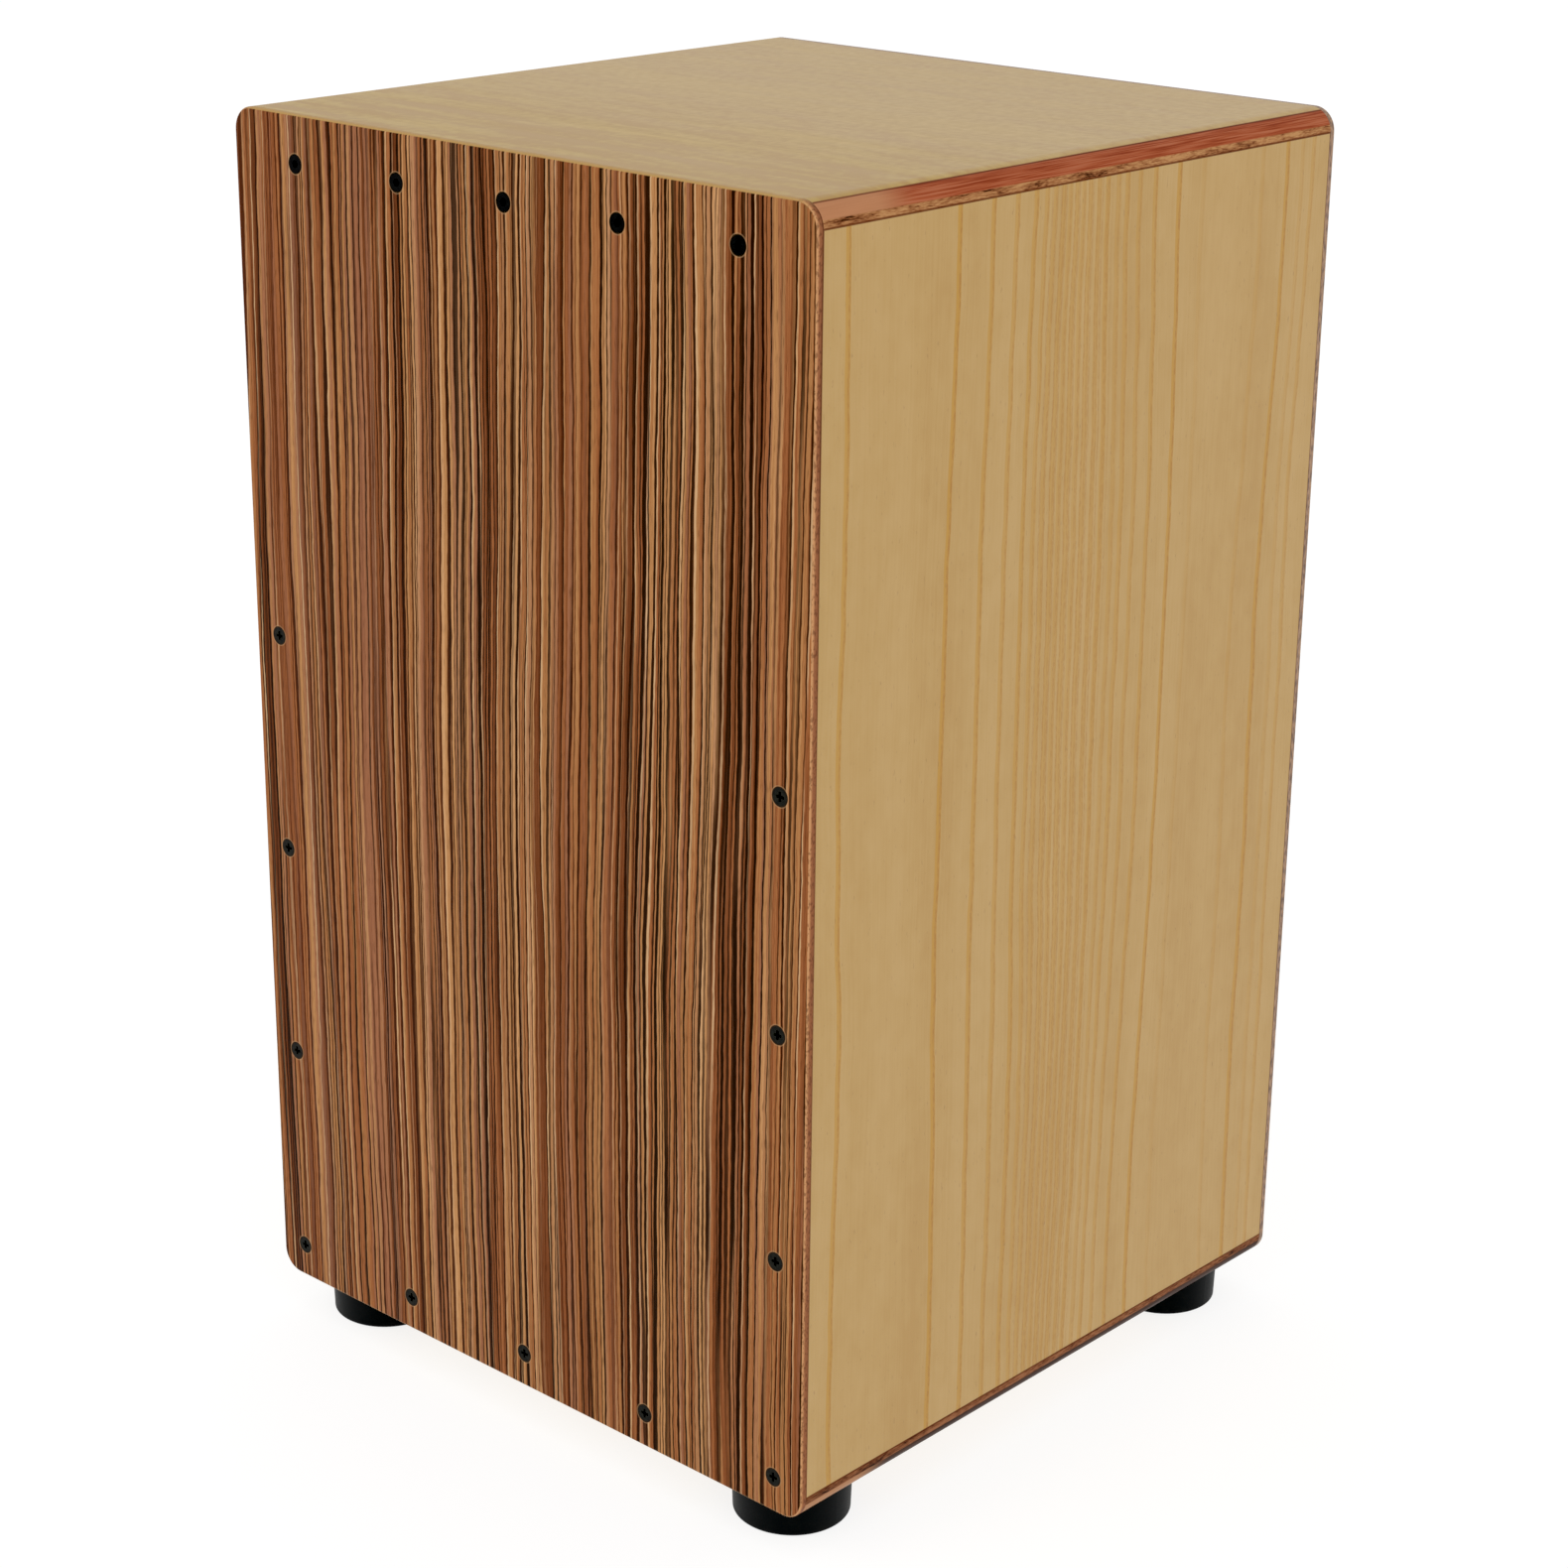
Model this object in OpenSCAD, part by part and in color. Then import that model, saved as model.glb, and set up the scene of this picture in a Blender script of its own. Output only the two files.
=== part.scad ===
// Box cajon: a plywood shell, a thin playing plate (the tapa) in front, a back plate with a round
// sound hole, adjustable snare strings behind the tapa, and four rubber feet.
// Seen from the front, X runs to the right, Y from the tapa to the back, and Z up.
// The origin is on the floor, under the middle of the box.

/* [Box] */
// Outside width of the box
body_w = 290; // [270:1:320]
// Outside depth of the box, with both plates
body_d = 291; // [270:1:320]
// Height of the box without its feet
body_h = 480; // [440:1:520]
// Thickness of the top and side panels
panel_t = 9; // [8.5:0.5:12]
// Thickness of the bottom panel
bottom_t = 10; // [9:0.5:12]
// Radius of the rounded long edges of the box
edge_r = 9; // [4:0.5:12]

/* [Plates] */
// Thickness of the tapa, the front playing plate
tapa_t = 3; // [2.8:0.1:4]
// Thickness of the back plate
back_t = 3; // [2.5:0.1:4]
// Radius of the eased outer edge of the tapa
tapa_ease = 1.3; // [0.5:0.1:1.4]
// Radius of the eased outer edge of the back plate
back_ease = 0.8; // [0.4:0.1:1.2]
// Diameter of the sound hole
sound_hole_d = 115; // [95:1:125]
// Height of the sound hole's centre above the underside of the box
sound_hole_z = 300; // [240:1:340]

/* [Inner frame] */
// Depth of the front rails and stiles, measured back from the tapa
rail_d = 18; // [18:1:22]
// Height of the front top rail, which holds the threaded inserts
top_rail_h = 18; // [16:1:22]
// Width of the front stiles and height of the front bottom rail
stile_w = 12; // [11:1:14]
// Side of the square battens that carry the back plate
batten_w = 12; // [10:1:16]
// Legs of the triangular glue strips in the corners
strip_w = 12; // [8:1:14]

/* [Tapa fasteners] */
// Distance of the wood screws from the sides of the box
screw_side_inset = 13.6; // [13:0.1:15]
// Distance of the bottom row of wood screws from the underside of the box
screw_low_inset = 14.4; // [13:0.1:15.5]
// Spacing of the wood screws up the sides
screw_side_pitch = 87.8; // [80:0.1:95]
// Number of wood screws up each side, above the bottom row
screws_per_side = 3; // [2:1:4]
// Head diameter of the wood screws
screw_head_d = 6.5; // [6:0.1:7]
// Spacing of the hex-socket bolts in the top row
top_bolt_pitch = 55.4; // [50:0.1:58]
// Head diameter of the hex-socket bolts
top_bolt_head_d = 6.8; // [6.5:0.1:7.5]

/* [Snares] */
// Distance of each tension bolt from the middle of the box
snare_x = 45; // [40:1:48]
// Outward lean of each string set, measured between its two ends
snare_lean = 17; // [0:1:20]
// Number of strings in each set
strings_per_set = 4; // [3:1:4]
// Diameter of one wound string
string_d = 0.8; // [0.6:0.1:1]
// Spacing of the strings where they leave the carriage
string_low_pitch = 10; // [9:0.5:10]
// Spacing of the strings at the upper anchor
string_high_pitch = 14; // [10:0.5:14]

/* [Feet] */
// Diameter of a rubber foot at the box
foot_d = 45.5; // [40:0.5:50]
// Height of a rubber foot
foot_h = 17.5; // [15:0.5:22]
// Distance of a foot's centre from the side of the box
foot_inset_x = 30.7; // [28:0.1:40]
// Distance of a foot's centre from the front and the back of the box
foot_inset_y = 29.3; // [28:0.1:40]

/* [Hidden] */
$fn = 64;

LEFT = -1;
RIGHT = 1;
FRONT = -1;
BACK = 1;

// Play between a screw or bolt and the wood or metal that it is driven into
drive_fit = 0.02;
// Play between a turning thread and its mating thread
thread_fit = 0.05;
// Gap between parts that pass each other
gap = 0.3;
// Length by which a cutting tool runs past the face that it cuts
over = 1;

// Planes of the box
front_y = -body_d / 2;
tapa_back_y = front_y + tapa_t;
back_y = body_d / 2;
back_front_y = back_y - back_t;
shell_d = back_front_y - tapa_back_y;
low_z = foot_h;
high_z = foot_h + body_h;
floor_z = low_z + bottom_t;
ceiling_z = high_z - panel_t;
inner_x = body_w / 2 - panel_t;
stile_x = inner_x - stile_w;
rail_back_y = tapa_back_y + rail_d;
batten_front_y = back_front_y - batten_w;
rail_top_z = floor_z + stile_w;
top_rail_low_z = ceiling_z - top_rail_h;

// Wood screws of the tapa
screw_head_h = 2.2;
screw_shank_d = 3.5;
screw_len = 20;
screw_x = body_w / 2 - screw_side_inset;
screw_low_z = low_z + screw_low_inset;

// Hex-socket bolts of the top row, each in its threaded insert
top_bolt_z = ceiling_z - top_rail_h / 2;
top_bolt_d = 4;
top_bolt_len = 17.5;
top_bolt_head_h = 2.2;
top_bolt_socket = 2.5;
top_bolt_count = 5;
insert_d = 7;
insert_len = 12;

// Tension bolts, which pull the string carriages
bolt_d = 6;
bolt_y = tapa_back_y + 9.5;
bolt_hole_d = 6.8;
bolt_head_d = 10;
bolt_head_h = 5.8;
bolt_socket = 5;
pocket_d = 11;
pocket_depth = 7.3;
washer_t = 1;
collar_d = 11;
collar_h = 5;

// U-shaped guide on the bottom rail, and the carriage that slides in it
sheet_t = 1.5;
carriage_w = 44;
carriage_h = 10;
carriage_front_y = tapa_back_y + 1;
carriage_d = 13.5;
guide_w = carriage_w + 2 * gap + 2 * sheet_t;
guide_d = 15;
guide_h = 36;
guide_screw_x = 14;
guide_screw_y = bolt_y + 2;
guide_base_z = rail_top_z + sheet_t;
carriage_z = guide_base_z + 12;
bolt_top_z = carriage_z + carriage_h + 12;
collar_z = guide_base_z + gap;
ferrule_d = 3;
ferrule_h = 6;

// Strings and their upper anchor, an angle on the back of the top rail
string_low_y = tapa_back_y + 3;
string_high_y = tapa_back_y + 2;
string_hole_d = string_d + 0.7;
anchor_t = 2;
anchor_w = 60;
anchor_leg_h = 20;
anchor_gap = 6;
anchor_top_z = top_rail_low_z - anchor_gap;
anchor_low_z = anchor_top_z - anchor_t;
anchor_screw_x = 20;
anchor_screw_z = anchor_low_z + 14.5;
ball_d = 4;
string_low_z = carriage_z;
string_high_z = anchor_top_z;

// Small round-head screws of the guides and anchors
small_screw_d = 3;
small_screw_len = 11;
small_head_d = 6;
small_head_h = 2.2;

// Feet, with a recess for a washer and a round-head screw
foot_low_d = foot_d - 1;
foot_edge_r = 1.2;
foot_recess_d = 18;
foot_recess_h = 10;
foot_screw_d = 4;
foot_screw_len = 17;
foot_head_d = 8;
foot_head_h = 2.6;
foot_washer_d = 15;
foot_washer_t = 1.5;
foot_hole_d = 4.6;
foot_x = body_w / 2 - foot_inset_x;
foot_y = body_d / 2 - foot_inset_y;
foot_seat_z = foot_recess_h - foot_washer_t;

// Colours
ash = [0.80, 0.69, 0.47];
zebrano = [0.66, 0.44, 0.27];
plain_ply = [0.72, 0.58, 0.40];
pine = [0.83, 0.70, 0.50];
black_metal = [0.10, 0.10, 0.11];
black_rubber = [0.06, 0.06, 0.06];
steel = [0.70, 0.71, 0.73];
brass = [0.80, 0.65, 0.32];
bronze = [0.68, 0.50, 0.33];

// Positions of the fasteners of the tapa, as [x, z]
low_row = [for (i = [-2 : 2]) [i * screw_x / 2, screw_low_z]];
side_rows = [for (side = [LEFT, RIGHT], i = [1 : screws_per_side])
    [side * screw_x, screw_low_z + i * screw_side_pitch]];
screw_places = concat(low_row, side_rows);
function top_bolt_x(number) = (number - (top_bolt_count + 1) / 2) * top_bolt_pitch;

// Middle of a string set at its lower and upper end, and one string's offset from it
function set_low_x(side) = side * snare_x;
function set_high_x(side) = side * (snare_x + snare_lean);
function string_offset(number, pitch) = (number - (strings_per_set - 1) / 2) * pitch;
function string_low_end(side, number) =
    [set_low_x(side) + string_offset(number, string_low_pitch), string_low_y, string_low_z];
function string_high_end(side, number) =
    [set_high_x(side) + string_offset(number, string_high_pitch), string_high_y, string_high_z];

// ---- Shapes that several parts share ----

// Box given by its lowest and highest corner
module block(low, high) {
    translate(low) cube(high - low);
}

// Turns something that points up so that it points back from the tapa
module pointing_back() {
    rotate([-90, 0, 0]) children();
}

// Flat screw or bolt head at z = 0 with its shank running up +Z; play widens all of it
module flat_head(head_d, head_h, shank_d, length, play = 0) {
    land = 0.3;
    translate([0, 0, -play]) {
        cylinder(d = head_d + 2 * play, h = land + play);
        translate([0, 0, land + play])
            cylinder(d1 = head_d + 2 * play, d2 = shank_d + 2 * play, h = head_h - land);
    }
    cylinder(d = shank_d + 2 * play, h = length - shank_d / 2);
    translate([0, 0, length - shank_d / 2])
        cylinder(d1 = shank_d + 2 * play, d2 = shank_d / 3, h = shank_d / 2);
}

// Round head below z = 0 with its shank running up +Z
module round_head_screw(shank_d, length, head_d, head_h) {
    difference() {
        union() {
            translate([0, 0, -head_h / 2]) cylinder(d = head_d, h = head_h / 2);
            translate([0, 0, -head_h]) cylinder(d1 = head_d * 0.72, d2 = head_d, h = head_h / 2);
            cylinder(d = shank_d, h = length - shank_d / 2);
            translate([0, 0, length - shank_d / 2])
                cylinder(d1 = shank_d, d2 = shank_d / 3, h = shank_d / 2);
        }
        translate([0, 0, -head_h]) cross_recess(head_d * 0.56, head_h * 0.8);
    }
}

// Cross recess of a screw head, cut upwards from z = 0
module cross_recess(span, depth) {
    wing = span * 0.28;
    intersection() {
        union() {
            translate([-span / 2, -wing / 2, -over]) cube([span, wing, depth + over]);
            translate([-wing / 2, -span / 2, -over]) cube([wing, span, depth + over]);
        }
        translate([0, 0, -over])
            cylinder(d1 = span + 2 * over * 0.6, d2 = span * 0.4, h = depth + over);
    }
}

// Hexagonal recess, cut upwards from z = 0
module hex_recess(across_flats, depth) {
    translate([0, 0, -over])
        cylinder(d = across_flats / cos(30), h = depth + over, $fn = 6);
}

// Half of a plate's cross-section, from its edge inwards, with the outer edge eased
module rim_profile(reach, thickness, ease) {
    square([reach, thickness - ease]);
    square([reach - ease, thickness]);
    translate([reach - ease, thickness - ease]) circle(r = ease);
}

// Plate in the XZ plane with round corners; its eased face looks towards -Y, at y = 0
module eased_plate(w, h, thickness, corner_r, ease) {
    rotate([90, 0, 0]) translate([0, 0, -thickness]) {
        translate([-w / 2 + corner_r, -h / 2 + corner_r, 0])
            cube([w - 2 * corner_r, h - 2 * corner_r, thickness]);
        for (side = [0, 1]) mirror([side, 0, 0]) {
            translate([w / 2 - corner_r, h / 2 - corner_r, 0]) rotate([90, 0, 0])
                linear_extrude(h - 2 * corner_r) rim_profile(corner_r, thickness, ease);
            for (end = [0, 1]) mirror([0, end, 0])
                translate([w / 2 - corner_r, h / 2 - corner_r, 0])
                    rotate_extrude(angle = 90) rim_profile(corner_r, thickness, ease);
        }
        for (end = [0, 1]) mirror([0, end, 0])
            translate([-w / 2 + corner_r, h / 2 - corner_r, 0]) rotate([90, 0, 90])
                linear_extrude(w - 2 * corner_r) rim_profile(corner_r, thickness, ease);
    }
}

// Outline of the box seen from the front, with its four long edges rounded
module box_outline() {
    round_x = body_w / 2 - edge_r;
    translate([-round_x, low_z]) square([2 * round_x, body_h]);
    translate([-body_w / 2, low_z + edge_r]) square([body_w, body_h - 2 * edge_r]);
    for (x = [-round_x, round_x], z = [low_z + edge_r, high_z - edge_r])
        translate([x, z]) circle(r = edge_r);
}

// Panel of the shell, given by its lowest and highest corner and cut to the outline of the box
module shell_panel(low, high) {
    intersection() {
        block(low, high);
        translate([0, back_front_y + over, 0]) rotate([90, 0, 0])
            linear_extrude(shell_d + 2 * over) box_outline();
    }
}

// ---- Holes ----

module tapa_screw_holes(play = drive_fit) {
    for (place = screw_places)
        translate([place[0], front_y, place[1]]) pointing_back()
            flat_head(screw_head_d, screw_head_h, screw_shank_d, screw_len, play);
}

// The tapa's holes for the top bolts: countersunk, with room for the bolt to turn
module top_bolt_seats() {
    turning_play = 0.15;
    for (number = [1 : top_bolt_count])
        translate([top_bolt_x(number), front_y, top_bolt_z]) pointing_back()
            flat_head(top_bolt_head_d, top_bolt_head_h, top_bolt_d, top_bolt_len, turning_play);
}

module tension_bolt_holes() {
    for (side = [LEFT, RIGHT])
        translate([side * snare_x, bolt_y, low_z - over])
            cylinder(d = bolt_hole_d, h = guide_base_z - low_z + 2 * over);
}

module tension_bolt_pockets() {
    for (side = [LEFT, RIGHT])
        translate([side * snare_x, bolt_y, low_z - over])
            cylinder(d = pocket_d, h = pocket_depth + over);
}

module foot_screw_holes() {
    for (x = [-foot_x, foot_x], y = [-foot_y, foot_y])
        translate([x, y, 0]) cylinder(
            d = foot_screw_d + 2 * drive_fit,
            h = foot_seat_z + foot_screw_len + drive_fit
        );
}

module guide_screw_holes(play = drive_fit) {
    for (side = [LEFT, RIGHT], x = [-guide_screw_x, guide_screw_x])
        translate([side * snare_x + x, guide_screw_y, guide_base_z - small_screw_len - play])
            cylinder(d = small_screw_d + 2 * play, h = small_screw_len + over);
}

module anchor_screw_holes(play = drive_fit) {
    for (side = [LEFT, RIGHT], x = [-anchor_screw_x, anchor_screw_x])
        translate([
            set_high_x(side) + x,
            rail_back_y + anchor_t - small_screw_len - play,
            anchor_screw_z
        ])
            pointing_back() cylinder(d = small_screw_d + 2 * play, h = small_screw_len + over);
}

// ---- Shell ----

module top_panel() {
    color(ash) shell_panel(
        [-body_w / 2, tapa_back_y, ceiling_z],
        [body_w / 2, back_front_y, high_z]
    );
}

module bottom_panel() {
    color(ash) difference() {
        shell_panel([-body_w / 2, tapa_back_y, low_z], [body_w / 2, back_front_y, floor_z]);
        tension_bolt_holes();
        tension_bolt_pockets();
        foot_screw_holes();
    }
}

module side_panel(side) {
    near_x = side > 0 ? inner_x : -body_w / 2;
    color(ash) shell_panel(
        [near_x, tapa_back_y, floor_z],
        [near_x + panel_t, back_front_y, ceiling_z]
    );
}

module tapa() {
    color(zebrano) difference() {
        translate([0, front_y, low_z + body_h / 2])
            eased_plate(body_w, body_h, tapa_t, edge_r, tapa_ease);
        tapa_screw_holes();
        top_bolt_seats();
    }
}

module back_panel() {
    color(plain_ply) difference() {
        translate([0, back_y, low_z + body_h / 2]) mirror([0, 1, 0])
            eased_plate(body_w, body_h, back_t, edge_r, back_ease);
        translate([0, back_front_y - over, low_z + sound_hole_z]) pointing_back()
            cylinder(d = sound_hole_d, h = back_t + 2 * over, $fn = 96);
    }
}

// ---- Inner frame ----

module front_top_rail() {
    color(pine) difference() {
        block([-inner_x, tapa_back_y, top_rail_low_z], [inner_x, rail_back_y, ceiling_z]);
        for (number = [1 : top_bolt_count])
            translate([top_bolt_x(number), tapa_back_y, top_bolt_z]) pointing_back() {
                translate([0, 0, -over]) cylinder(d = insert_d, h = insert_len + over);
                cylinder(d = top_bolt_d + 2 * gap, h = top_bolt_len - tapa_t + gap);
            }
        anchor_screw_holes();
    }
}

module front_bottom_rail() {
    color(pine) difference() {
        block([-inner_x, tapa_back_y, floor_z], [inner_x, rail_back_y, rail_top_z]);
        tapa_screw_holes();
        tension_bolt_holes();
        guide_screw_holes();
    }
}

module front_stile(side) {
    near_x = side > 0 ? stile_x : -inner_x;
    color(pine) difference() {
        block(
            [near_x, tapa_back_y, rail_top_z],
            [near_x + stile_w, rail_back_y, top_rail_low_z]
        );
        tapa_screw_holes();
    }
}

module back_cross_batten(z) {
    color(pine) block(
        [-inner_x, batten_front_y, z],
        [inner_x, back_front_y, z + batten_w]
    );
}

module back_side_batten(side) {
    near_x = side > 0 ? inner_x - batten_w : -inner_x;
    color(pine) block(
        [near_x, batten_front_y, floor_z + batten_w],
        [near_x + batten_w, back_front_y, ceiling_z - batten_w]
    );
}

// Triangular strip glued into one long corner of the shell; up is 1 in the lower corners
module glue_strip(side, up) {
    corner_z = up > 0 ? floor_z : ceiling_z;
    color(pine) translate([side * inner_x, batten_front_y, corner_z]) rotate([90, 0, 0])
        linear_extrude(batten_front_y - rail_back_y)
            polygon([[0, 0], [-side * strip_w, 0], [0, up * strip_w]]);
}

// ---- Fasteners of the tapa ----

module tapa_screws() {
    color(black_metal) for (place = screw_places)
        translate([place[0], front_y, place[1]]) pointing_back() difference() {
            flat_head(screw_head_d, screw_head_h, screw_shank_d, screw_len);
            cross_recess(screw_head_d * 0.58, screw_head_h * 0.75);
        }
}

module threaded_inserts() {
    color(brass) for (number = [1 : top_bolt_count])
        translate([top_bolt_x(number), tapa_back_y, top_bolt_z]) pointing_back() difference() {
            cylinder(d = insert_d - 2 * drive_fit, h = insert_len);
            translate([0, 0, -over])
                cylinder(d = top_bolt_d + 2 * thread_fit, h = insert_len + 2 * over);
        }
}

module top_bolt(number) {
    color(black_metal) translate([top_bolt_x(number), front_y, top_bolt_z]) pointing_back()
        difference() {
            flat_head(top_bolt_head_d, top_bolt_head_h, top_bolt_d, top_bolt_len);
            hex_recess(top_bolt_socket, top_bolt_head_h * 0.8);
        }
}

// ---- Snare tension ----

module tension_bolt(side) {
    head_low_z = low_z + gap;
    color(steel) translate([side * snare_x, bolt_y, head_low_z]) difference() {
        union() {
            cylinder(d = bolt_head_d, h = bolt_head_h);
            cylinder(d = bolt_d, h = bolt_top_z - head_low_z);
        }
        hex_recess(bolt_socket, bolt_head_h * 0.6);
    }
}

// Collar that keeps the bolt from dropping out or being pulled up
module bolt_collar(side) {
    color(brass) translate([side * snare_x, bolt_y, collar_z]) difference() {
        cylinder(d = collar_d, h = collar_h);
        translate([0, 0, -over]) cylinder(d = bolt_d + 2 * drive_fit, h = collar_h + 2 * over);
    }
}

module tension_bolt_washers() {
    color(steel) for (side = [LEFT, RIGHT])
        translate([side * snare_x, bolt_y, low_z + pocket_depth - washer_t]) difference() {
            cylinder(d = pocket_d - 2 * drive_fit, h = washer_t);
            translate([0, 0, -over]) cylinder(d = bolt_hole_d, h = washer_t + 2 * over);
        }
}

// Bent sheet guide: a base on the bottom rail and two upright cheeks
module string_guide(side) {
    low = [set_low_x(side) - guide_w / 2, carriage_front_y, rail_top_z];
    color(steel) difference() {
        union() {
            block(low, low + [guide_w, guide_d, sheet_t]);
            block(low, low + [sheet_t, guide_d, guide_h]);
            block(low + [guide_w - sheet_t, 0, 0], low + [guide_w, guide_d, guide_h]);
        }
        tension_bolt_holes();
        guide_screw_holes();
    }
}

module guide_screws() {
    color(steel) for (side = [LEFT, RIGHT], x = [-guide_screw_x, guide_screw_x])
        translate([set_low_x(side) + x, guide_screw_y, guide_base_z]) mirror([0, 0, 1])
            round_head_screw(small_screw_d, small_screw_len, small_head_d, small_head_h);
}

// Block that rides on the tension bolt's thread and pulls the strings
module string_carriage(side) {
    low = [set_low_x(side) - carriage_w / 2, carriage_front_y, carriage_z];
    color(brass) difference() {
        block(low, low + [carriage_w, carriage_d, carriage_h]);
        translate([set_low_x(side), bolt_y, carriage_z - over])
            cylinder(d = bolt_d + 2 * thread_fit, h = carriage_h + 2 * over);
        for (number = [0 : strings_per_set - 1])
            string_line(side, number, string_hole_d);
    }
}

module string_ferrules(side) {
    color(brass) for (number = [0 : strings_per_set - 1])
        translate(string_low_end(side, number) - [0, 0, ferrule_h])
            cylinder(d = ferrule_d, h = ferrule_h);
}

// ---- Strings ----

// Straight round line along one string, from its lower end to its upper end
module string_line(side, number, d) {
    low = string_low_end(side, number);
    run = string_high_end(side, number) - low;
    translate(low) rotate([0, acos(run[2] / norm(run)), atan2(run[1], run[0])])
        cylinder(d = d, h = norm(run));
}

module strings(side) {
    color(bronze) for (number = [0 : strings_per_set - 1]) string_line(side, number, string_d);
}

module string_ball_ends() {
    color(brass) for (side = [LEFT, RIGHT], number = [0 : strings_per_set - 1])
        translate(string_high_end(side, number) + [0, 0, drive_fit])
            cylinder(d = ball_d, h = ball_d);
}

// Angle screwed to the back of the top rail; its lower leg holds the strings' ball ends
module string_anchor(side) {
    leg_front_y = tapa_back_y + 0.6;
    color(steel) difference() {
        translate([set_high_x(side) - anchor_w / 2, 0, 0]) rotate([90, 0, 90])
            linear_extrude(anchor_w) polygon([
                [leg_front_y, anchor_low_z],
                [rail_back_y + anchor_t, anchor_low_z],
                [rail_back_y + anchor_t, anchor_low_z + anchor_leg_h],
                [rail_back_y, anchor_low_z + anchor_leg_h],
                [rail_back_y, anchor_top_z],
                [leg_front_y, anchor_top_z]
            ]);
        for (number = [0 : strings_per_set - 1])
            translate(string_high_end(side, number) - [0, 0, anchor_t + over])
                cylinder(d = string_hole_d, h = anchor_t + 2 * over);
        anchor_screw_holes();
    }
}

module anchor_screws() {
    color(steel) for (side = [LEFT, RIGHT], x = [-anchor_screw_x, anchor_screw_x])
        translate([set_high_x(side) + x, rail_back_y + anchor_t, anchor_screw_z])
            rotate([90, 0, 0])
                round_head_screw(small_screw_d, small_screw_len, small_head_d, small_head_h);
}

// ---- Feet ----

module foot(x_side, y_side) {
    color(black_rubber) translate([x_side * foot_x, y_side * foot_y, 0]) difference() {
        rotate_extrude() {
            polygon([
                [0, 0],
                [foot_low_d / 2 - foot_edge_r, 0],
                [foot_low_d / 2, foot_edge_r],
                [foot_d / 2, foot_h],
                [0, foot_h]
            ]);
            translate([foot_low_d / 2 - foot_edge_r, foot_edge_r]) circle(r = foot_edge_r);
        }
        translate([0, 0, -over]) cylinder(d = foot_recess_d, h = foot_recess_h + over);
        cylinder(d = foot_hole_d, h = foot_h + over);
    }
}

module foot_washers() {
    color(steel) for (x = [-foot_x, foot_x], y = [-foot_y, foot_y])
        translate([x, y, foot_seat_z]) difference() {
            cylinder(d = foot_washer_d, h = foot_washer_t);
            translate([0, 0, -over]) cylinder(d = foot_hole_d, h = foot_washer_t + 2 * over);
        }
}

module foot_screws() {
    color(steel) for (x = [-foot_x, foot_x], y = [-foot_y, foot_y])
        translate([x, y, foot_seat_z])
            round_head_screw(foot_screw_d, foot_screw_len, foot_head_d, foot_head_h);
}

// ---- Nodes ----

top_panel();
bottom_panel();
side_panel(LEFT);  // left_panel
side_panel(RIGHT);  // right_panel
tapa();
back_panel();
front_top_rail();
front_bottom_rail();
front_stile(LEFT);  // front_left_stile
front_stile(RIGHT);  // front_right_stile
back_cross_batten(ceiling_z - batten_w);  // back_top_batten
back_cross_batten(floor_z);  // back_bottom_batten
back_side_batten(LEFT);  // back_left_batten
back_side_batten(RIGHT);  // back_right_batten
glue_strip(LEFT, -1);  // top_left_glue_strip
glue_strip(RIGHT, -1);  // top_right_glue_strip
glue_strip(LEFT, 1);  // bottom_left_glue_strip
glue_strip(RIGHT, 1);  // bottom_right_glue_strip
tapa_screws();
threaded_inserts();
for (number = [1 : top_bolt_count])
    top_bolt(number);
tension_bolt(LEFT);  // left_tension_bolt
tension_bolt(RIGHT);  // right_tension_bolt
bolt_collar(LEFT);  // left_bolt_collar
bolt_collar(RIGHT);  // right_bolt_collar
tension_bolt_washers();
string_guide(LEFT);  // left_string_guide
string_guide(RIGHT);  // right_string_guide
guide_screws();
string_carriage(LEFT);  // left_string_carriage
string_carriage(RIGHT);  // right_string_carriage
string_ferrules(LEFT);  // left_string_ferrules
string_ferrules(RIGHT);  // right_string_ferrules
strings(LEFT);  // left_strings
strings(RIGHT);  // right_strings
string_ball_ends();
string_anchor(LEFT);  // left_string_anchor
string_anchor(RIGHT);  // right_string_anchor
anchor_screws();
foot(LEFT, FRONT);  // front_left_foot
foot(RIGHT, FRONT);  // front_right_foot
foot(LEFT, BACK);  // back_left_foot
foot(RIGHT, BACK);  // back_right_foot
foot_washers();
foot_screws();
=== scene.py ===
"""Looks of the cajon: veneers, plywood edges, metal, rubber and wound strings on the CAD frame.

The shared frame is in metres. Seen from the front, X runs to the right, Y from the tapa to the
back, and Z up. Materials work in millimetres of that frame, so grain keeps its place on its piece.
"""

import math

import bpy
from mathutils import Matrix, Vector


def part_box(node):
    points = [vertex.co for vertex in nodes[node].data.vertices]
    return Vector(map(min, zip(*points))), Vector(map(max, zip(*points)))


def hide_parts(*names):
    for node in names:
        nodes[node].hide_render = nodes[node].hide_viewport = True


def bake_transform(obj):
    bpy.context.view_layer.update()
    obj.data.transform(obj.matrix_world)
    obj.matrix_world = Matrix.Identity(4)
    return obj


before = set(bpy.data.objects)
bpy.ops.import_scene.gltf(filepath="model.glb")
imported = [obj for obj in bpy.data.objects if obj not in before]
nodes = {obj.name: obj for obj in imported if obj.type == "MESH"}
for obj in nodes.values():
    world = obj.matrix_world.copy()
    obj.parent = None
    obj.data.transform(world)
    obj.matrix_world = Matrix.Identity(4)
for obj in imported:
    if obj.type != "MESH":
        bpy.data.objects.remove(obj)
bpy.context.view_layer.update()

MM = 0.001
WHITE = (1.0, 1.0, 1.0, 1.0)

# ---- Camera, as the photograph was taken: metres, degrees, and millimetres of lens and sensor ----

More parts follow.
